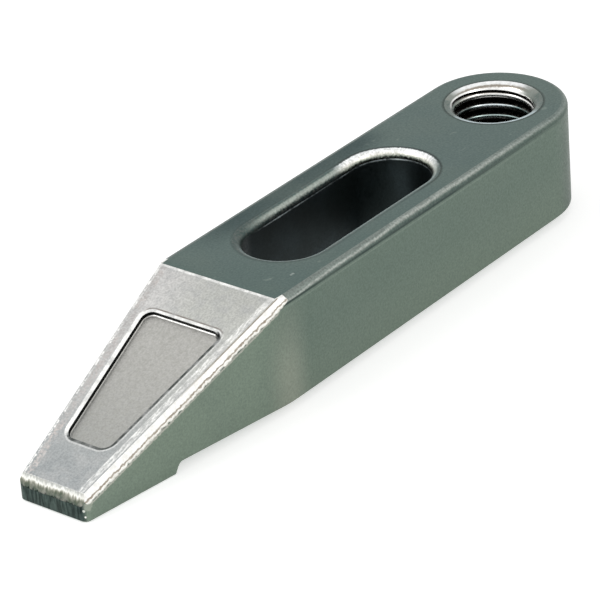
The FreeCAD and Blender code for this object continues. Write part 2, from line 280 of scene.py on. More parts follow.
class SteelNodes(Nodes):
    """Nodes of a steel, which also tell where on the clamp the shaded point lies.

    Attributes:
        place: the object coordinates of the point.
        where: its X, Y and Z.
        facing: X, Y and Z of the surface's direction there.
    """

    def __init__(self, owner: bpy.types.Material) -> None:
        super().__init__(owner)
        coordinates = self.add("TexCoord").outputs
        self.place = coordinates["Object"]
        self.where = self.add("SeparateXYZ", {"Vector": coordinates["Object"]}).outputs
        self.facing = self.add("SeparateXYZ", {"Vector": coordinates["Normal"]}).outputs

    def noise(
        self, grain_mm: float, detail: float = 3.0, stretch: Point = (1.0, 1.0, 1.0)
    ) -> Socket:
        """Add noise of a given grain.

        Args:
            grain_mm: the size of its largest spots.
            detail: how many finer octaves lie on them.
            stretch: how far the grain is drawn out along X, Y and Z.

        Returns:
            The noise, about 0.5 on average.
        """
        scale = tuple(1.0 / share for share in stretch)
        drawn = self.add("Mapping", {"Vector": self.place, "Scale": scale})
        inputs = {"Vector": drawn.outputs[0], "Scale": 1.0 / (grain_mm * MM), "Detail": detail}
        return self.add("TexNoise", inputs).outputs["Fac"]

    def around(self, place_mm: Point, reach_mm: float) -> Socket:
        """Return a share that falls from 1 at a place to 0 at a ragged distance from it."""
        inputs = {0: self.place, 1: Vector(place_mm) * MM}
        away = self.add("VectorMath", inputs, operation="DISTANCE").outputs["Value"]
        away = self.math("MULTIPLY_ADD", self.noise(0.6), reach_mm * MM, away)
        return self.past(away, (1.2 * reach_mm, 1.6 * reach_mm), (1.0, 0.0))

    def leaning(self, bearing: float = VIEW_BEARING) -> Socket:
        """Return how far the surface leans to a bearing, in degrees from the nose."""
        turn = math.radians(bearing)
        aside = self.math("MULTIPLY", self.facing["Y"], math.sin(turn))
        return self.math("MULTIPLY_ADD", self.facing["X"], math.cos(turn), aside)

    def turned_to(self, bearing: float = VIEW_BEARING) -> Socket:
        """Return the cosine of the angle from a bearing to the one that the surface faces."""
        upright = self.math("POWER", self.facing["Z"], 2.0)
        level = self.math("SQRT", self.math("SUBTRACT", 1.0, upright))
        return self.math("DIVIDE", self.leaning(bearing), self.math("MAXIMUM", level, 0.01))

    def line(self, value: Socket, start_mm: float, end_mm: float) -> Socket:
        """Return 1 between two lengths, with soft ends, and 0 elsewhere."""
        rise = self.past(value, (start_mm - SOFT_MM, start_mm + SOFT_MM))
        fall = self.past(value, (end_mm - SOFT_MM, end_mm + SOFT_MM), (1.0, 0.0))
        return self.math("MULTIPLY", rise, fall)

    def draw(self, colour: Socket, lines: Iterable[Line]) -> Socket:
        """Draw fine lines over a colour.

        Args:
            colour: the colour below them.
            lines: how strong each line is, the length that places it, the two values of
                that length between which it lies, in millimetres, and its colour.

        Returns:
            The colour with the lines.
        """
        for strength, value, start_mm, end_mm, line_colour in lines:
            share = self.math("MULTIPLY", self.line(value, start_mm, end_mm), strength)
            colour = self.blend(share, colour, line_colour)
        return colour

    def past(self, value: Socket, span_mm: Span, to: Span = (0.0, 1.0)) -> Socket:
        """Map a span of a length, in millimetres, smoothly to another span."""
        return self.ramp(value, (span_mm[0] * MM, span_mm[1] * MM), to)

    def along(self, start_mm: float, end_mm: float) -> Socket:
        """Return a share that goes from 0 to 1 between two places along the strap."""
        if start_mm > end_mm:
            return self.past(self.where["X"], (end_mm, start_mm), (1.0, 0.0))
        return self.past(self.where["X"], (start_mm, end_mm))

    def distance(self, across: Socket, aside: Socket) -> Socket:
        """Return the length of two lengths at right angles."""
        squares = self.math("ADD", self.math("POWER", across, 2.0), self.math("POWER", aside, 2.0))
        return self.math("SQRT", squares)

    def from_hole(self) -> Socket:
        """Return the distance from the axis of the heel's hole."""
        across = self.math("SUBTRACT", self.where["X"], FORM.hole_x * MM)
        return self.distance(across, self.where["Y"])

    def from_slot(self) -> Socket:
        """Return the distance from the line between the axes of the slot's ends."""
        ends = {"Min": FORM.slot_near_x * MM, "Max": FORM.slot_far_x * MM}
        nearest = self.add("Clamp", {"Value": self.where["X"], **ends}).outputs["Result"]
        return self.distance(self.math("SUBTRACT", self.where["X"], nearest), self.where["Y"])

    def inside_edge(self, side: float) -> Socket:
        """Return the distance from the slope's far edge, or from its nearer one if side is -1."""
        across = self.math("MULTIPLY_ADD", self.where["Y"], side, FORM.edge_offset * MM)
        return self.math("MULTIPLY_ADD", self.where["X"], -FORM.edge_taper, across)

    def from_panel(self) -> Socket:
        """Return the distance from the panel's outline, less than 0 inside it."""
        corner = FORM.panel_corner * MM
        lengthwise = self.math("SUBTRACT", self.where["X"], FORM.panel_x * MM)
        past_end = self.math("ABSOLUTE", lengthwise)
        past_end = self.math("SUBTRACT", past_end, FORM.panel_half * MM - corner)
        past_side = self.math("ABSOLUTE", self.where["Y"])
        past_side = self.math("MULTIPLY_ADD", lengthwise, FORM.panel_taper, past_side)
        past_side = self.math("SUBTRACT", past_side, FORM.panel_half_width * MM - corner)
        beyond = self.distance(
            self.math("MAXIMUM", past_end, 0.0), self.math("MAXIMUM", past_side, 0.0)
        )
        return self.math("SUBTRACT", beyond, corner)

    def under_slope(self) -> Socket:
        """Return how far the point lies under the sloping face."""
        inputs = {0: self.place, 1: FORM.slope}
        along = self.add("VectorMath", inputs, operation="DOT_PRODUCT").outputs["Value"]
        return self.math("SUBTRACT", FORM.crest.dot(FORM.slope) * MM, along)


@dataclass(frozen=True)
class Steel:
    """A steel surface, mottled by its making and grained by its last working.

    Attributes:
        name: name of the material.
        colour: its usual colour on screen.
        mottle: the colour of its larger spots.
        mottle_mm: size of those spots.
        mottle_share: how far the spots hide the usual colour.
        speckle: how far the finest specks stray from the colour, up and down.
        roughness: lowest and highest roughness.
        grain_mm: size of the fine grain.
        grain_depth_mm: depth of the fine grain.
        wave_mm: size of the slow waves left by the hammer or the grinding belt.
        wave_depth_mm: depth of those waves.
        stretch: how far the spots and the grain are drawn out along X, Y and Z.
        marks: the places, sizes and colours of single small marks.
    """

    name: str
    colour: Rgb
    mottle: Rgb
    mottle_mm: float
    mottle_share: float = 0.6
    speckle: float = 0.1
    roughness: Span = (0.38, 0.52)
    grain_mm: float = 0.5
    grain_depth_mm: float = 0.01
    wave_mm: float = 8.0
    wave_depth_mm: float = 0.0
    stretch: Point = (1.0, 1.0, 1.0)
    marks: tuple[tuple[Point, float, Rgb], ...] = ()

    def plain(self, nodes: SteelNodes) -> Socket:
        """Return the colour before its spots and specks."""
        return nodes.flat(self.colour)

    def colours(self, nodes: SteelNodes) -> Socket:
        """Return the surface's colour, broken by larger spots, fine specks and marks."""
        spots = nodes.noise(self.mottle_mm, 4.0, self.stretch)
        share = nodes.ramp(spots, (0.38, 0.7), (0.0, self.mottle_share))
        colour = nodes.blend(share, self.plain(nodes), self.mottle)
        specks = nodes.noise(0.42, 3.0)
        scale = nodes.ramp(specks, (0.25, 0.75), (1.0 - self.speckle, 1.0 + self.speckle))
        scaled = nodes.add("VectorMath", {0: colour, "Scale": scale}, operation="SCALE")
        colour = scaled.outputs[0]
        for place, reach, mark_colour in self.marks:
            colour = nodes.blend(nodes.around(place, reach), colour, mark_colour)
        return colour

    def make(self) -> bpy.types.Material:
        """Build the material.

        Returns:
            The finished material.
        """
        material = bpy.data.materials.new(self.name)
        nodes = SteelNodes(material)
        grain = nodes.noise(self.grain_mm, 4.0, self.stretch)
        wave = nodes.noise(self.wave_mm, 1.0)
        coarse = nodes.add("Bump", {"Height": wave, "Distance": self.wave_depth_mm * MM})
        relief = {
            "Height": grain,
            "Distance": self.grain_depth_mm * MM,
            "Normal": coarse.outputs["Normal"],
        }
        shader = nodes.add(
            "BsdfPrincipled",
            {
                "Base Color": self.colours(nodes),
                "Metallic": 1.0,
                "Roughness": nodes.ramp(grain, (0.3, 0.7), self.roughness),
                "Normal": nodes.add("Bump", relief).outputs["Normal"],
            },
        )
        nodes.finish(shader)
        return material


@dataclass(frozen=True)
class ForgedSkin(Steel):
    """The forged skin in painted light and shade: cooler where it looks up, a highlight at the
    bend, darker at the tip.

    Attributes:
        sky_colour: colour of the faces that look up, a painted reflection of the sky.
        land_colour: the same on the narrow land beyond the slot, and the painted shade on the far
            side of the long edge's round.
        bend_highlight_colour: colour of the painted highlight in a band at the bend of the sides.
        bend_half_mm: how far that band fades out on both sides.
        nose_colour: colour of the nose's sides.
        tip_shade_colour: colour of the painted shade on the tip's end face.
        edge_line_colour: colour of the painted shade in a dark line along the edges.
        ring_shade_colour: colour of the painted shade in thin dark rings round the slot and the
            hole.
        glint_colour: colour of the fine light line beside the long edge's.
        heel_shade_colour: colour of the painted shade on the heel's back.
        fringe_colour: colour of the ragged fringe under the nose's bevel.
        low_colour: colour of the sides by the underside.
        scuff_colour: colour of the few light marks on the top.
        streak_colour: colour of the upright streaks on the tip's end face.
    """

    sky_colour: Rgb = (90, 107, 103)
    land_colour: Rgb = (60, 78, 77)
    bend_highlight_colour: Rgb = (136, 143, 130)
    bend_half_mm: float = 7.5
    nose_colour: Rgb = (115, 129, 116)
    tip_shade_colour: Rgb = (31, 41, 40)
    edge_line_colour: Rgb = (56, 69, 65)
    ring_shade_colour: Rgb = (38, 50, 48)
    glint_colour: Rgb = (110, 124, 114)
    heel_shade_colour: Rgb = (82, 97, 87)
    fringe_colour: Rgb = (164, 166, 156)
    low_colour: Rgb = (108, 122, 110)
    scuff_colour: Rgb = (128, 141, 134)
    streak_colour: Rgb = (70, 84, 80)

    def sides(self, nodes: SteelNodes) -> Socket:
        """Return the colour of the upright faces."""
        near_foot = nodes.past(nodes.where["Z"], (1.0, 18.0), (1.0, 0.0))
        colour = nodes.blend(near_foot, self.colour, self.low_colour)
        nose = nodes.along(FORM.bend_x - 2.0, FORM.bend_x + 10.0)
        colour = nodes.blend(nose, colour, self.nose_colour)
        # Painted highlight: a lighter band where the sides bend, fading downwards.
        off = nodes.math("SUBTRACT", nodes.where["X"], FORM.bend_x * MM)
        band = nodes.past(nodes.math("ABSOLUTE", off), (0.0, self.bend_half_mm), (1.0, 0.0))
        low = nodes.past(nodes.where["Z"], (2.0, 26.0), (1.0, 0.15))
        colour = nodes.blend(nodes.math("MULTIPLY", band, low), colour, self.bend_highlight_colour)

        # Painted shade on the faces that look back towards the heel.
        behind = nodes.ramp(nodes.facing["X"], (-0.35, 0.0), (1.0, 0.0))
        colour = nodes.blend(behind, colour, self.heel_shade_colour)

        below_top = nodes.math("SUBTRACT", FORM.top_z * MM, nodes.where["Z"])
        stray = nodes.math("MULTIPLY", nodes.noise(0.5), 0.8 * MM)
        below_bevel = nodes.math("SUBTRACT", nodes.under_slope(), stray)
        light_and_shade_reach = nodes.along(-85.0, -25.0)
        on_nose = nodes.along(FORM.break_x, FORM.break_x + 1.0)
        edge, foot = FORM.top_round, FORM.bevel_depth
        # Painted shade in a dark line just below the long edge's round, and a painted highlight
        # line below that, fading out towards the heel.
        return nodes.draw(colour, (
            (light_and_shade_reach, below_top, edge - 0.4, edge + 0.5, self.edge_line_colour),
            (light_and_shade_reach, below_top, edge + 0.85, edge + 1.2, self.glint_colour),
            (on_nose, below_bevel, foot - 0.9, foot, self.fringe_colour),
        ))

    def upper(self, nodes: SteelNodes) -> Socket:
        """Return the colour of the faces that look up."""
        aside = nodes.past(nodes.where["Y"], (-13.0, -7.0), (1.0, 0.0))
        by_slot = nodes.math("MULTIPLY", nodes.along(22.0, 6.0), nodes.along(-46.0, -34.0))
        land = nodes.math("MULTIPLY", aside, by_slot)
        colour = nodes.blend(land, self.sky_colour, self.land_colour)
        scuffs = nodes.ramp(nodes.noise(3.2, 2.0, (1.5, 1.0, 1.0)), (0.66, 0.74), (0.0, 0.6))
        colour = nodes.blend(scuffs, colour, self.scuff_colour)
        rim = FORM.slot_half + FORM.slot_round
        by_heel = nodes.along(FORM.slot_near_x + 8.0, FORM.slot_near_x)
        by_heel = nodes.math("MULTIPLY_ADD", by_heel, 0.55, 0.35)
        for distance, edge, depth in (
            (nodes.from_slot(), rim, by_heel), (nodes.from_hole(), FORM.mouth_radius, 0.85)
        ):
            # Painted shade: a thin dark ring on the top just outside the slot's rim and the hole's
            # mouth.
            ring = nodes.past(distance, (edge + 0.1, edge + 0.7), (1.0, 0.0))
            colour = nodes.blend(nodes.math("MULTIPLY", ring, depth), colour, self.ring_shade_colour)
        return colour

    def plain(self, nodes: SteelNodes) -> Socket:
        """Return the skin's colour by where the surface lies, in painted light and shade by how it
        faces.
        """
        # Painted light: the faces that look up take the sky's painted reflection, the upright
        # faces their own tones.
        up = nodes.ramp(nodes.facing["Z"], (0.3, 0.9))
        colour = nodes.blend(up, self.sides(nodes), self.upper(nodes))
        # Painted shade: the end face that looks towards the tip is darkened, with upright streaks.
        streaks = nodes.ramp(nodes.noise(0.6, 3.0, (1.0, 1.0, 6.0)), (0.35, 0.65))
        tip = nodes.blend(streaks, self.tip_shade_colour, self.streak_colour)
        return nodes.blend(nodes.ramp(nodes.facing["X"], (0.6, 0.95)), colour, tip)


SKIN = ForgedSkin(
    name="forged_skin", colour=(97, 112, 102), mottle=(104, 117, 108), mottle_mm=14.0,
    mottle_share=0.25, speckle=0.1, wave_depth_mm=0.02,
    marks=(
        ((18.1, 11.0, 25.55), 0.35, (142, 153, 148)),
        ((18.7, 11.0, 25.55), 0.3, (142, 153, 148)),
        # Painted highlights: the white and light marks at the tip's lower corner.
        ((81.3, 8.3, 1.3), 0.35, (235, 236, 230)),
        ((81.3, 8.0, 2.6), 0.3, (200, 204, 196)),
        ((80.6, 8.8, 3.4), 1.0, (142, 150, 138)),
    ),
)


@dataclass(frozen=True)
class BandedSteel(Steel):
    """A steel in bands of colour that follow an edge: painted highlight and shade across its
    round.

    Attributes:
        bands: places across the edge, from 0 to 1, and the colours there.
        ragged: how far the bands stray from their places.
        ragged_mm: how long a stray is.
        spread: how much more they stray at the upper end of their scale than at its foot.
        drift: how far they wander, besides, over several millimetres.
    """

    bands: Stops = ()
    ragged: float = 0.12
    ragged_mm: float = 0.9
    spread: float = 0.0
    drift: float = 0.0

    def across(self, nodes: SteelNodes) -> Socket:
        """Return where across the edge the point lies: how far up its surface looks, which sets
        the painted light.
        """
        return nodes.facing["Z"]

    def strayed(self, nodes: SteelNodes) -> Socket:
        """Return the place across the edge, shifted here and there."""
        slow = nodes.math("SUBTRACT", nodes.noise(7.0, 1.0), 0.5)
        across = nodes.math("MULTIPLY_ADD", slow, 2.0 * self.drift, self.across(nodes))
        stray = nodes.math("SUBTRACT", nodes.noise(self.ragged_mm, 2.0, self.stretch), 0.5)
        most = 2.0 * self.ragged
        reach = nodes.math("MULTIPLY_ADD", across, most * self.spread, most)
        return nodes.math("MULTIPLY_ADD", stray, reach, across)

    def plain(self, nodes: SteelNodes) -> Socket:
        """Return the colour of the band."""
        return nodes.bands(self.strayed(nodes), self.bands)


@dataclass(frozen=True)
class LongEdge(BandedSteel):
    """The round of the long top edges, in bands of painted highlight and shade that fade out
    towards the heel.
    """

    def across(self, nodes: SteelNodes) -> Socket:
        """Return how far up the round looks, more and more towards the slope."""
        lower = nodes.math("MULTIPLY", nodes.along(12.0, 24.0), 0.3)
        lower = nodes.math("MULTIPLY_ADD", nodes.along(-12.0, -2.0), 0.25, lower)
        return nodes.math("ADD", nodes.facing["Z"], lower)

    def colours(self, nodes: SteelNodes) -> Socket:
        """Return the round's painted highlight and shade, in painted shade where it faces away, or
        the skin towards the heel.
        """
        # Painted shade: where the round faces away, it takes the land's dark colour.
        away = nodes.ramp(nodes.facing["Y"], (-0.3, -0.1), (1.0, 0.0))
        high = nodes.ramp(nodes.facing["Z"], (0.65, 0.8))
        colour = nodes.blend(
            nodes.math("MULTIPLY", away, high), super().colours(nodes), SKIN.land_colour
        )
        return nodes.blend(nodes.along(-115.0, -25.0), SKIN.colours(nodes), colour)


@dataclass(frozen=True)
class SlotRim(BandedSteel):
    """The round of the slot's rim in painted light and shade: a bright highlight by the heel,
    duller along its other edges.

    Attributes:
        heel_bands: the bands of painted highlight at the end by the heel.
        near_colour: colour of the painted reflection on the rim's side nearer to the camera.
        nose_colour: colour of the painted shade on the other side by the nose.
    """

    heel_bands: Stops = ()
    near_colour: Rgb = (138, 155, 154)
    nose_colour: Rgb = (76, 90, 87)

    def plain(self, nodes: SteelNodes) -> Socket:
        """Return the colour of the straight rims' bands, and those of the two ends, all painted
        light and shade.
        """
        bright = nodes.bands(self.strayed(nodes), self.heel_bands)
        by_heel = nodes.along(FORM.slot_near_x + 6.5, FORM.slot_near_x + 1.0)
        beyond = nodes.past(nodes.where["Y"], (3.0, 9.0), (1.0, 0.0))
        colour = nodes.blend(nodes.math("MULTIPLY", by_heel, beyond), super().plain(nodes), bright)
        by_nose = nodes.along(FORM.slot_far_x - 9.0, FORM.slot_far_x + 3.0)
        colour = nodes.blend(by_nose, colour, self.nose_colour)
        near = nodes.ramp(nodes.leaning(), (-0.3, -0.05), (1.0, 0.0))
        return nodes.blend(near, colour, self.near_colour)


@dataclass(frozen=True)
class SlotWall(Steel):
    """The wall of the slot, darkened with painted shade below a fine painted highlight line.

    Attributes:
        line_colour: colour of that line.
    """

    line_colour: Rgb = (236, 248, 250)

    def plain(self, nodes: SteelNodes) -> Socket:
        """Return the colour of the wall by how deep it lies."""
        depth = nodes.math("SUBTRACT", FORM.top_z * MM, nodes.where["Z"])
        start = FORM.slot_round - 0.05
        broken = nodes.ramp(nodes.noise(1.6, 2.0), (0.35, 0.55), (0.25, 1.0))
        line = nodes.math("MULTIPLY", nodes.line(depth, start, start + 0.35), broken)
        away = nodes.along(FORM.slot_far_x, FORM.slot_far_x - 10.0)
        return nodes.blend(nodes.math("MULTIPLY", line, away), self.colour, self.line_colour)


@dataclass(frozen=True)
class GroundSteel(Steel):
    """The ground slope of the nose, brighter to one side and duller towards the tip.

    Attributes:
        far_colour: colour along the far side.
        foot_colour: colour at the tip.
        head_x: where it starts to change.
        glint_colour: colour of the fine lines that catch the light along its edges.
        lip_colour: colour of the painted shade on the panel's nearer lips.
        shade_colour: colour in the panel's corner where its two walls meet.
        line_colour: colour of the fine line above the panel.
        spot_colour: colour of the spots along the far edge.
        corner_yz: the Y and Z of the panel's corner where its two walls meet.
        from_diagonal: the direction across the panel's diagonal, along X and Y.
    """

    far_colour: Rgb = (206, 205, 203)
    foot_colour: Rgb = (158, 162, 163)
    head_x: float = 40.0
    glint_colour: Rgb = (250, 250, 247)
    lip_colour: Rgb = (76, 80, 78)
    shade_colour: Rgb = (24, 27, 27)
    line_colour: Rgb = (132, 124, 118)
    spot_colour: Rgb = (194, 189, 186)
    corner_yz: Span = (9.0, 21.1)
    from_diagonal: Span = (0.434, 0.9)

    def plain(self, nodes: SteelNodes) -> Socket:
        """Return the ground colour by where on the slope it is."""
        aside = nodes.past(nodes.where["Y"], (-12.0, 2.0), (1.0, 0.0))
        colour = nodes.blend(aside, self.colour, self.far_colour)
        colour = nodes.blend(nodes.along(self.head_x, FORM.tip_x), colour, self.foot_colour)
        colour = self.round_panel(nodes, self.along_edges(nodes, colour))
        # Painted highlight along the head of the slope.
        head = nodes.along(FORM.break_x + 0.7, FORM.break_x + 0.35)
        return nodes.blend(head, colour, self.glint_colour)

    def along_edges(self, nodes: SteelNodes, colour: Socket) -> Socket:
        """Return the colour with the spots, and the painted highlights in spots and streaks, along
        the slope's edges.
        """
        before_tip = nodes.math("SUBTRACT", (FORM.tip_x - 0.4) * MM, nodes.where["X"])
        far_edge, near_edge = nodes.inside_edge(1.0), nodes.inside_edge(-1.0)
        spots = nodes.ramp(nodes.noise(0.6, 3.0), (0.38, 0.58))
        streaks = nodes.ramp(nodes.noise(0.5, 3.0, (5.0, 1.0, 2.0)), (0.35, 0.6), (0.2, 0.8))
        return nodes.draw(colour, (
            (spots, far_edge, 0.7, 2.2, self.spot_colour),
            (spots, far_edge, 0.1, 0.6, self.glint_colour),
            (streaks, near_edge, 0.3, 1.7, self.glint_colour),
            (spots, before_tip, -1.0, 0.7, self.glint_colour),
        ))

    def round_panel(self, nodes: SteelNodes, colour: Socket) -> Socket:
        """Return the colour with the lines round the panel: painted highlights and painted shade,
        and a brownish line above it.
        """
        outside = nodes.from_panel()
        near = self.nearer(nodes)
        far = nodes.math("SUBTRACT", 1.0, near)
        head = FORM.panel_x - FORM.panel_half
        aside = nodes.math("MULTIPLY", far, nodes.along(head - 0.46, head + 1.44))
        above = nodes.math("MULTIPLY", far, nodes.along(head + 1.44, head - 0.46))
        faint = nodes.math("MULTIPLY", near, 0.4)
        corner = nodes.around((head + 0.8, *self.corner_yz), 1.5)
        return nodes.draw(colour, (
            (far, outside, 0.0, 0.6, self.glint_colour),
            (above, outside, 0.68, 0.95, self.line_colour),
            (aside, outside, 0.4, 1.0, self.glint_colour),
            (near, outside, -0.2, 0.6, self.lip_colour),
            (faint, outside, 0.65, 1.0, self.glint_colour),
            (corner, outside, -0.3, 0.35, self.shade_colour),
        ))

    def nearer(self, nodes: SteelNodes) -> Socket:
        """Return 1 on the nearer side of the panel's diagonal, and 0 beyond it."""
        lengthwise, across = self.from_diagonal
        corner = across * (FORM.panel_half_width + FORM.panel_taper * FORM.panel_half)
        corner += lengthwise * (FORM.panel_x - FORM.panel_half)
        near = nodes.math("MULTIPLY", nodes.where["Y"], across)
        near = nodes.math("MULTIPLY_ADD", nodes.where["X"], lengthwise, near)
        return nodes.past(near, (corner - 0.8, corner + 0.8))


@dataclass(frozen=True)
class GroundBevel(BandedSteel):
    """The bevel round the slope, in bands of painted highlight and shade that differ along the
    sides and at the tip.

    Attributes:
        tip_bands: the bands at the tip.
        streaked: how far those stray, in upright streaks.
        edge_line_colour: colour of the fine line beside the head of the slope.
    """

    tip_bands: Stops = ()
    streaked: float = 0.75
    edge_line_colour: Rgb = (140, 130, 116)

    def across(self, nodes: SteelNodes) -> Socket:
        """Return how deep under the slope the point lies, as a share of the bevel."""
        return nodes.math("DIVIDE", nodes.under_slope(), FORM.bevel_depth * MM)

    def plain(self, nodes: SteelNodes) -> Socket:
        """Return the colour of the band along the sides or at the tip."""
        beyond = nodes.ramp(nodes.facing["Y"], (-0.2, 0.0), (1.0, 0.0))
        where = nodes.math("MAXIMUM", nodes.along(60.0, 45.0), beyond)
        seam = nodes.math("MULTIPLY", nodes.line(nodes.under_slope(), -0.2, 0.2), where)
        colour = nodes.blend(seam, super().plain(nodes), self.edge_line_colour)
        level = nodes.ramp(nodes.math("ABSOLUTE", nodes.facing["Y"]), (0.1, 0.25), (1.0, 0.0))
        colour = nodes.blend(level, colour, self.colour)
        streaks = nodes.math("SUBTRACT", nodes.noise(0.55, 3.0, (4.0, 1.0, 6.0)), 0.5)
        down = nodes.math("MULTIPLY_ADD", streaks, self.streaked, self.across(nodes))
        ahead = nodes.ramp(nodes.facing["X"], (0.45, 0.75))
        return nodes.blend(ahead, colour, nodes.bands(down, self.tip_bands))


@dataclass(frozen=True)
class CutThread(BandedSteel):
    """The tapped hole in painted light and shade: banded mouths, bright upper crests and grooves
    that stay dark.

    Attributes:
        deep_colour: colour of the painted highlight on the next crest further in.
        deepest_colour: colour of those beyond it.
        dim_colour: colour of both to the sides.
        second_crest: depths between which the next crest takes over from the first.
        third_crest: depths between which the one beyond it does.
        groove: colour of the painted shade down in the grooves.
        side_colour: colour of the mouth's two sides.
        dull: colour of the mouth beyond them.
        near_colour: colour of its nearer edge.
    """

    deep_colour: Rgb = (236, 247, 250)
    deepest_colour: Rgb = (186, 205, 202)
    dim_colour: Rgb = (98, 114, 114)
    groove: Rgb = (9, 10, 12)
    side_colour: Rgb = (134, 141, 135)
    dull: Rgb = (88, 103, 98)
    near_colour: Rgb = (176, 194, 198)
    second_crest: Span = (3.3, 4.3)
    third_crest: Span = (5.8, 6.8)

    def mouth(self, nodes: SteelNodes, depth: Socket) -> Socket:
        """Return the colour of the rounded mouths.

        Args:
            nodes: the nodes of the material.
            depth: how deep the surface lies.

        Returns:
            The painted bands where the mouth is lit, dimmer to both sides, above one fine painted
            highlight line.
        """
        ahead, aside = nodes.turned_to(), nodes.turned_to(VIEW_BEARING - 90.0)
        colour = nodes.blend(
            nodes.ramp(ahead, (0.45, 0.85)), self.side_colour, super().plain(nodes)
        )
        colour = nodes.blend(nodes.ramp(ahead, (0.1, 0.45)), self.dull, colour)
        edge = nodes.math("MULTIPLY_ADD", aside, FORM.run_in_lean * MM, FORM.run_in * MM)
        line = nodes.line(nodes.math("SUBTRACT", edge, depth), 0.0, 0.3)
        line = nodes.math("MULTIPLY", line, nodes.ramp(ahead, (-0.2, 0.7), (0.3, 0.9)))
        colour = nodes.blend(line, colour, self.colour)
        near = nodes.ramp(ahead, (-0.75, -0.4), (1.0, 0.0))
        return nodes.blend(near, colour, self.near_colour)

    def plain(self, nodes: SteelNodes) -> Socket:
        """Return the colour by how deep in the hole and in a groove the surface lies: painted
        highlights on the crests, painted shade in the grooves.
        """
        size = FORM.mouth_round * MM
        below = nodes.math("SUBTRACT", FORM.top_z * MM, nodes.where["Z"])
        above = nodes.math("SUBTRACT", nodes.where["Z"], FORM.foot_z * MM)
        depth = nodes.math("MINIMUM", below, above)
        deepest = nodes.past(depth, self.third_crest)
        deep = nodes.blend(deepest, self.deep_colour, self.deepest_colour)
        deep = nodes.blend(nodes.ramp(nodes.turned_to(), (0.8, 0.99)), self.dim_colour, deep)
        crest = nodes.blend(nodes.past(depth, self.second_crest), self.colour, deep)
        inside = nodes.past(depth, (FORM.mouth_round - 0.3, FORM.mouth_round))
        colour = nodes.blend(inside, self.mouth(nodes, depth), crest)

        left = nodes.math("SUBTRACT", size, nodes.math("MINIMUM", depth, size))
        square = nodes.math("SUBTRACT", size**2, nodes.math("POWER", left, 2.0))
        surface = nodes.math("SUBTRACT", FORM.mouth_radius * MM, nodes.math("SQRT", square))
        reach = nodes.past(depth, self.second_crest, (0.2 * MM, 0.17 * MM))
        off = nodes.math("SUBTRACT", nodes.from_hole(), surface)
        off = nodes.ramp(nodes.math("DIVIDE", off, reach), (0.7, 1.3))
        lifted = nodes.past(depth, self.second_crest, (0.3, 0.0))
        lifted = nodes.math("ADD", nodes.facing["Z"], lifted)
        # Painted shade on the faces that look down.
        down = nodes.ramp(lifted, (-0.25, 0.05), (1.0, 0.0))
        return nodes.blend(nodes.math("MAXIMUM", off, down), colour, self.groove)


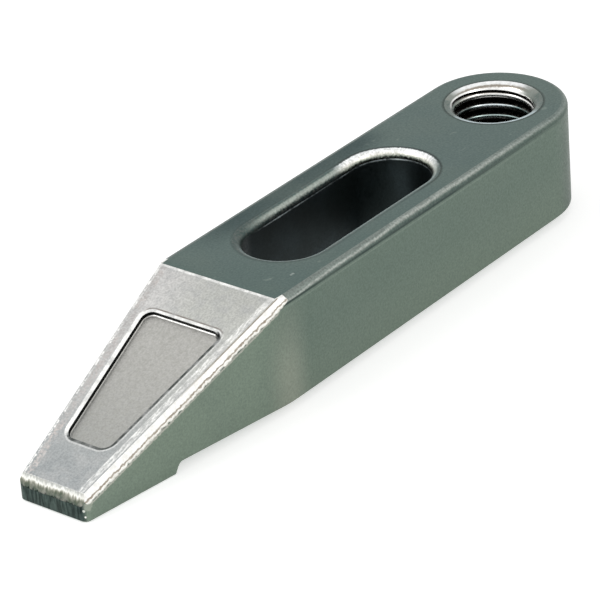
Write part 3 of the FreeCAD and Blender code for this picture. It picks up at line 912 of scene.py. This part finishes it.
FINISHES: dict[Region, Steel] = {
    Region.SKIN: SKIN,
    Region.LONG_EDGE: LongEdge(
        name="long_edge", colour=(140, 150, 145), mottle=(100, 108, 103), mottle_mm=0.55,
        mottle_share=0.4, speckle=0.18, ragged=0.24, ragged_mm=0.5, spread=-0.6, drift=0.12,
        bands=(
            (0.0, (64, 78, 74)), (0.22, (76, 90, 85)), (0.4, (87, 101, 95)),
            (0.5, (108, 119, 113)), (0.63, (144, 151, 145)), (0.78, (167, 173, 167)),
            (0.9, (153, 160, 155)), (0.96, (138, 147, 142)), (1.0, (126, 135, 130)),
        ),
        marks=(
            # The white mark is a painted highlight where the top's round meets the bevel; the dark
            # one lies beside it.
            ((27.1, 14.7, 25.5), 0.45, (40, 48, 46)),
            ((27.7, 15.2, 25.35), 0.3, (240, 240, 236)),
        ),
    ),
    Region.SLOT_RIM: SlotRim(
        name="slot_rim", colour=(150, 150, 142), mottle=(120, 120, 114), mottle_mm=0.7,
        mottle_share=0.35, speckle=0.14, ragged=0.36, ragged_mm=0.4, spread=-0.95,
        bands=(
            (0.0, (10, 20, 22)), (0.12, (44, 55, 57)), (0.26, (40, 51, 52)),
            (0.38, (28, 37, 36)), (0.48, (70, 80, 78)), (0.6, (130, 138, 132)),
            (0.72, (164, 172, 165)), (0.88, (156, 166, 159)), (0.96, (84, 101, 98)),
        ),
        heel_bands=(
            (0.0, (20, 30, 26)), (0.18, (6, 10, 7)), (0.3, (84, 94, 86)),
            (0.4, (166, 172, 161)), (0.52, (196, 198, 188)), (0.64, (234, 234, 226)),
            (0.78, (250, 250, 247)), (0.985, (252, 255, 255)), (0.998, (70, 84, 84)),
        ),
    ),
    Region.GROUND: GroundSteel(
        name="ground_face", colour=(190, 191, 186), mottle=(180, 181, 180), mottle_mm=2.4,
        speckle=0.15, roughness=(0.36, 0.5), grain_mm=0.35, grain_depth_mm=0.006,
        wave_mm=6.0, wave_depth_mm=0.004,
    ),
    Region.BEVEL: GroundBevel(
        name="ground_bevel", colour=(240, 240, 236), mottle=(206, 202, 192), mottle_mm=1.4,
        mottle_share=0.35, speckle=0.06, roughness=(0.28, 0.42), grain_mm=0.4,
        grain_depth_mm=0.008, ragged=0.05, ragged_mm=0.9, spread=4.0, drift=0.05,
        bands=(
            (0.0, (250, 250, 248)), (0.54, (255, 255, 253)), (0.62, (138, 128, 113)),
            (0.7, (170, 160, 147)), (0.77, (250, 250, 246)), (0.9, (226, 226, 218)),
            (1.0, (96, 106, 100)),
        ),
        tip_bands=(
            (0.0, (186, 188, 184)), (0.14, (204, 206, 201)), (0.24, (240, 241, 236)),
            (0.34, (250, 251, 245)), (0.42, (206, 206, 195)), (0.5, (148, 150, 137)),
            (0.59, (108, 114, 100)), (0.7, (94, 102, 89)), (0.88, (90, 100, 90)),
            (0.94, (44, 55, 50)), (1.0, (36, 47, 42)),
        ),
    ),
    Region.PANEL: GroundSteel(
        name="panel_floor", colour=(180, 179, 175), far_colour=(182, 181, 177),
        foot_colour=(158, 159, 156), mottle=(160, 160, 154), mottle_mm=0.9,
        mottle_share=0.5, speckle=0.1, roughness=(0.4, 0.55), grain_mm=0.3,
        grain_depth_mm=0.006,
    ),
    # The panel's walls are near black with painted shade.
    Region.PANEL_WALL: Steel(
        name="panel_wall", colour=(18, 20, 20), mottle=(12, 13, 13), mottle_mm=1.5,
        roughness=(0.4, 0.55), grain_mm=0.3, grain_depth_mm=0.006,
    ),
    # The slot's wall is darkened with painted shade.
    Region.SLOT: SlotWall(
        name="slot_wall", colour=(52, 60, 60), mottle=(64, 75, 78), mottle_mm=9.0,
        roughness=(0.35, 0.5),
    ),
    Region.THREAD: CutThread(
        name="cut_thread", colour=(252, 252, 250), mottle=(150, 144, 136), mottle_mm=0.7,
        mottle_share=0.25, speckle=0.06, roughness=(0.2, 0.32), grain_mm=0.6,
        grain_depth_mm=0.003, ragged=0.24, ragged_mm=0.5, spread=-0.9,
        bands=(
            (0.0, (140, 140, 136)), (0.4, (220, 218, 212)), (0.48, (255, 255, 252)),
            (0.64, (255, 255, 252)), (0.71, (196, 190, 182)), (0.77, (146, 139, 129)),
            (0.85, (158, 151, 141)), (0.9, (236, 236, 234)), (0.96, (252, 254, 254)),
        ),
    ),
}


@dataclass(frozen=True)
class HeelThread:
    """The 3/4-10 thread of the heel, between its two rounded mouths.

    Attributes:
        root_radius: radius at the bottom of the groove.
        pitch: one turn's rise.
        crest_round: round of the crests' corners.
        crest_depth: depth of the first full crest, on the side of `crest_bearing`.
        crest_bearing: where that depth is read, in degrees from the nose.
        lip: flat ring that joins each mouth to its flat face.
        columns: steps round a turn.
    """

    root_radius: float = 9.525
    pitch: float = 2.54
    crest_round: float = 0.7
    crest_depth: float = 2.4
    crest_bearing: float = 220.0
    lip: float = 0.05
    columns: int = 96

    def profile(self) -> list[Span]:
        """Return one pitch of the thread's profile, from crest to crest.

        Returns:
            Height along the axis and radius of each point, lowest first.
        """
        crest, root = FORM.hole_radius, self.root_radius
        slant = math.radians(60)
        root_z = self.pitch * 7 / 16
        crest_half = root_z - (root - crest) / math.tan(slant)
        start = crest_half - self.crest_round * math.tan(slant / 2)
        half = [(0.0, crest)]
        for step in range(5):
            turned = slant * step / 4
            z = start + self.crest_round * math.sin(turned)
            half.append((z, crest + self.crest_round * (1 - math.cos(turned))))
        last_z, last_radius = half[-1]
        for share in (0.25, 0.5, 0.75, 1.0):
            z = last_z + share * (root_z - last_z)
            half.append((z, last_radius + share * (root - last_radius)))
        half.append((self.pitch / 2, root))
        return half + [(self.pitch - z, radius) for z, radius in reversed(half[:-1])]

    def open_out(self, vertices: list[bmesh.types.BMVert]) -> None:
        """Round the wall out to the mouths, and let the groove run in below them."""
        size = FORM.mouth_round - self.lip
        for vertex in vertices:
            level = vertex.co.z / MM
            depth = min(FORM.top_z - level, level - FORM.foot_z)
            left = size - min(depth, size)
            least = FORM.hole_radius + size - math.sqrt(max(size**2 - left**2, 0.0))
            radius = FORM.from_hole(vertex.co / MM)
            bearing = math.atan2(vertex.co.y, vertex.co.x - FORM.hole_x * MM)
            aside = math.sin(bearing - math.radians(self.crest_bearing))
            smooth = FORM.run_in - FORM.run_in_lean * aside
            cut = min(max((depth - smooth) / 0.2, 0.0), 1.0)
            wanted = least + max(radius - least, 0.0) * cut
            axis = Vector((FORM.hole_x * MM, 0.0, vertex.co.z))
            vertex.co = axis + (vertex.co - axis) * (wanted / radius)

    def build(self, mesh: bmesh.types.BMesh) -> list[bmesh.types.BMEdge]:
        """Add the threaded wall, open at both mouths.

        Args:
            mesh: the mesh that it is added to, in metres.

        Returns:
            The edges of its two open ends.
        """
        known = set(mesh.verts)
        start = FORM.top_z - self.crest_depth - self.pitch * self.crest_bearing / 360.0
        start -= self.pitch * math.ceil((start - FORM.foot_z) / self.pitch + 1)
        turns = math.ceil((FORM.top_z - start) / self.pitch) + 1
        chain = [
            mesh.verts.new(Vector((FORM.hole_x + radius, 0.0, start + z)) * MM)
            for z, radius in self.profile()
        ]
        edges = [mesh.edges.new(pair) for pair in zip(chain, chain[1:])]
        bmesh.ops.spin(
            mesh,
            geom=chain + edges,
            cent=(FORM.hole_x * MM, 0.0, 0.0),
            axis=(0.0, 0.0, 1.0),
            dvec=(0.0, 0.0, self.pitch * MM / self.columns),
            angle=math.tau,
            steps=self.columns,
        )

        def wall() -> list[bmesh.types.BMVert]:
            """Return the vertices that were added here."""
            return [vertex for vertex in mesh.verts if vertex not in known]

        ribbon = wall()
        around = {part for vertex in ribbon for part in (*vertex.link_edges, *vertex.link_faces)}
        for turn in range(1, turns):
            copy = bmesh.ops.duplicate(mesh, geom=[*ribbon, *around])["geom"]
            bmesh.ops.translate(
                mesh,
                verts=[part for part in copy if isinstance(part, bmesh.types.BMVert)],
                vec=(0.0, 0.0, turn * self.pitch * MM),
            )

        bmesh.ops.remove_doubles(mesh, verts=wall(), dist=WELD_MM * MM)
        for level, outward in ((FORM.top_z, 1.0), (FORM.foot_z, -1.0)):
            faces = {face for vertex in wall() for face in vertex.link_faces}
            around = {edge for face in faces for edge in face.edges}
            bmesh.ops.bisect_plane(
                mesh,
                geom=[*wall(), *around, *faces],
                plane_co=(0.0, 0.0, level * MM),
                plane_no=(0.0, 0.0, outward),
                clear_outer=True,
            )
        self.open_out(wall())
        around = {edge for vertex in wall() for edge in vertex.link_edges}
        return [edge for edge in around if edge.is_boundary]


@dataclass(frozen=True)
class Strap:
    """The clamp's one forging, with its edges softened and its heel threaded.

    Attributes:
        node: the node that it stands for.
        edge_softness: width of the softened edges.
        sharpest_turn: edges that turn by more than this, in degrees, are softened.
        thread: the heel's thread.
    """

    node: str = "clamp_strap"
    edge_softness: float = 0.22
    sharpest_turn: float = 22.0
    thread: HeelThread = field(default_factory=HeelThread)

    def region(self, face: bmesh.types.BMFace) -> Region:
        """Tell which surface of the clamp a face belongs to.

        Args:
            face: a face of the mesh, in metres.

        Returns:
            Its region.
        """
        centre = face.calc_center_median() / MM
        normal = face.normal
        if abs(normal.z) > 0.9999:
            return Region.SKIN
        upper = centre.z > FORM.top_z - 2.0
        depth = FORM.under_slope(centre)
        if FORM.from_hole(centre) < FORM.mouth_radius:
            return Region.THREAD
        if FORM.from_slot(centre) < FORM.slot_half + FORM.slot_round:
            return Region.SLOT_RIM if upper else Region.SLOT
        if centre.x > FORM.break_x - 2.0 and depth < FORM.bevel_depth + 0.05:
            facing = normal.dot(FORM.slope)
            if facing > 0.999:
                return Region.GROUND if depth < FORM.panel_depth / 2 else Region.PANEL
            if FORM.by_panel(centre):
                return Region.PANEL if facing > 0.7 else Region.PANEL_WALL
            if facing > 0.3 and normal.x < 0.98:
                return Region.BEVEL
        return Region.LONG_EDGE if upper and normal.z > 0.02 else Region.SKIN

    def open_heel(self, mesh: bmesh.types.BMesh) -> None:
        """Take out the plain wall of the heel's hole and leave its mouths open."""
        reach = FORM.mouth_radius + 0.02
        wall = [
            face
            for face in mesh.faces
            if all(FORM.from_hole(vertex.co / MM) < reach for vertex in face.verts)
        ]
        bmesh.ops.delete(mesh, geom=wall, context="FACES")

    def soften(self, mesh: bmesh.types.BMesh) -> None:
        """Round off the sharp edges a little."""
        turn = math.radians(self.sharpest_turn)
        sharp = [e for e in mesh.edges if e.is_manifold and e.calc_face_angle() > turn]
        bmesh.ops.bevel(
            mesh,
            geom=sharp,
            offset=self.edge_softness * MM,
            offset_type="OFFSET",
            segments=2,
            profile=0.5,
            affect="EDGES",
            clamp_overlap=True,
            material=-1,
        )

    def build(self) -> bpy.types.Object:
        """Make the finished forging.

        Returns:
            Its object.
        """
        mesh = bmesh.new()
        mesh.from_mesh(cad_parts[self.node].data)
        bmesh.ops.remove_doubles(mesh, verts=mesh.verts, dist=WELD_MM * MM)
        bmesh.ops.dissolve_limit(
            mesh, angle_limit=math.radians(0.2), verts=mesh.verts, edges=mesh.edges
        )
        self.open_heel(mesh)
        self.soften(mesh)
        open_edges = [edge for edge in mesh.edges if edge.is_boundary]
        open_edges += self.thread.build(mesh)
        middle = (FORM.top_z + FORM.foot_z) / 2 * MM
        for upper in (True, False):
            ring = [e for e in open_edges if (e.verts[0].co.z > middle) == upper]
            bmesh.ops.bridge_loops(mesh, edges=ring)
        bmesh.ops.recalc_face_normals(mesh, faces=mesh.faces)
        for face in mesh.faces:
            face.smooth = True
            face.material_index = self.region(face)
        turn = math.radians(self.sharpest_turn)
        for edge in mesh.edges:
            edge.smooth = not edge.is_manifold or edge.calc_face_angle() < turn
        data = bpy.data.meshes.new("strap_forging")
        mesh.to_mesh(data)
        mesh.free()
        piece = bpy.data.objects.new("strap_forging", data)
        bpy.context.scene.collection.objects.link(piece)
        for region in Region:
            data.materials.append(FINISHES[region].make())
        keep_flat = piece.modifiers.new("keep_flat", "WEIGHTED_NORMAL")
        keep_flat.keep_sharp = True
        keep_flat.weight = 80
        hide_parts(self.node)
        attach(piece, "root")
        return piece


@dataclass(frozen=True)
class Lamp:
    """A soft rectangular lamp that is aimed at the clamp.

    Attributes:
        name: name of the lamp.
        towards: direction from the clamp to the lamp.
        away_mm: its distance.
        size_mm: its width and height.
        power: its power in watts.
        colour: its colour.
    """

    name: str
    towards: Point
    away_mm: float
    size_mm: Span
    power: float
    colour: Rgb = (1.0, 1.0, 1.0)

    def build(self) -> bpy.types.Object:
        """Hang the lamp and aim it at the middle of the clamp."""
        data = bpy.data.lights.new(self.name, "AREA")
        data.shape = "RECTANGLE"
        data.size, data.size_y = (side * MM for side in self.size_mm)
        data.energy = self.power
        data.color = self.colour
        lamp = bpy.data.objects.new(self.name, data)
        direction = Vector(self.towards).normalized()
        lamp.location = direction * self.away_mm * MM
        lamp.rotation_euler = direction.to_track_quat("Z", "Y").to_euler()
        bpy.context.scene.collection.objects.link(lamp)
        return lamp


@dataclass(frozen=True)
class Studio:
    """The floor, the lamps, the white surroundings and the camera.

    Attributes:
        bearing: the camera's azimuth, in degrees.
        height: the camera's elevation, in degrees.
        roll: how far the camera is turned about its own axis, in degrees.
        distance_mm: from the camera to its target.
        focal_px: focal length in pixels of the picture.
        target_mm: the point that the camera looks at.
        fill: strength of the surroundings where they only light.
        glow: what lifts the floor to white where it is seen.
        lamps: the soft lamps.
    """

    bearing: float = VIEW_BEARING + 90.0
    height: float = 28.344
    roll: float = -4.446
    distance_mm: float = 772.7
    focal_px: float = 3787.7
    target_mm: Point = (3.53, 0.0, 9.66)
    fill: float = 0.6
    glow: float = 0.52
    lamps: tuple[Lamp, ...] = (
        Lamp("key_lamp", (0.54, -0.40, 0.74), 700.0, (360.0, 360.0), 1.2),
        Lamp("edge_lamp", (-0.21, 0.73, 0.64), 700.0, (300.0, 300.0), 0.8, (1.0, 0.98, 0.94)),
    )

    def camera(self) -> bpy.types.Object:
        """Place the camera as the photograph was taken."""
        bearing, height = math.radians(self.bearing), math.radians(self.height)
        back = Vector(
            (
                math.sin(bearing) * math.cos(height),
                -math.cos(bearing) * math.cos(height),
                math.sin(height),
            )
        )
        right = Vector((math.cos(bearing), math.sin(bearing), 0.0))
        up = back.cross(right)
        turn = math.radians(self.roll)
        turned_right = right * math.cos(turn) + up * math.sin(turn)
        turned_up = up * math.cos(turn) - right * math.sin(turn)
        data = bpy.data.cameras.new("camera")
        data.sensor_width = SENSOR_MM
        data.lens = self.focal_px * SENSOR_MM / PIXELS
        data.clip_start, data.clip_end = 0.01, 20.0
        camera = bpy.data.objects.new("camera", data)
        pose = Matrix((turned_right, turned_up, back)).transposed().to_4x4()
        pose.translation = (Vector(self.target_mm) + back * self.distance_mm) * MM
        camera.matrix_world = pose
        bpy.context.scene.collection.objects.link(camera)
        bpy.context.scene.camera = camera
        return camera

    def floor(self) -> bpy.types.Object:
        """Lay the pale floor, which shows white and keeps the clamp's shadow."""
        mesh = bmesh.new()
        bmesh.ops.create_grid(mesh, x_segments=1, y_segments=1, size=4.0)
        data = bpy.data.meshes.new("floor")
        mesh.to_mesh(data)
        mesh.free()
        floor = bpy.data.objects.new("floor", data)
        bpy.context.scene.collection.objects.link(floor)
        material = bpy.data.materials.new("pale_floor")
        nodes = Nodes(material)
        matt = nodes.add("BsdfDiffuse", {"Color": linear((236, 236, 236))}).outputs[0]
        glow = nodes.add("Emission", {"Color": (1.0, 1.0, 1.0, 1.0), "Strength": self.glow})
        shown = nodes.add("AddShader", {0: matt, 1: glow.outputs[0]}).outputs[0]
        nodes.finish(nodes.add("MixShader", {0: nodes.seen(), 1: matt, 2: shown}))
        data.materials.append(material)
        return floor

    def surroundings(self) -> None:
        """Surround the clamp with even white, dimmer where it only lights."""
        world = bpy.data.worlds.new("studio")
        bpy.context.scene.world = world
        nodes = Nodes(world)
        strength = nodes.ramp(nodes.seen(), (0.0, 1.0), (self.fill, 1.0))
        sky = nodes.add("Background", {"Color": (1.0, 1.0, 1.0, 1.0), "Strength": strength})
        nodes.finish(sky, "OutputWorld")

    def build(self) -> None:
        """Set up the whole studio."""
        bpy.context.scene.view_settings.view_transform = "Standard"
        self.surroundings()
        self.floor()
        for lamp in self.lamps:
            lamp.build()
        self.camera()


def main() -> None:
    """Build the studio and the clamp."""
    logging.basicConfig(level=logging.INFO, format="%(name)s: %(message)s")
    Studio().build()
    piece = Strap().build()
    log.info("%s: %d faces", piece.name, len(piece.data.polygons))


if __name__ == "__main__":
    main()
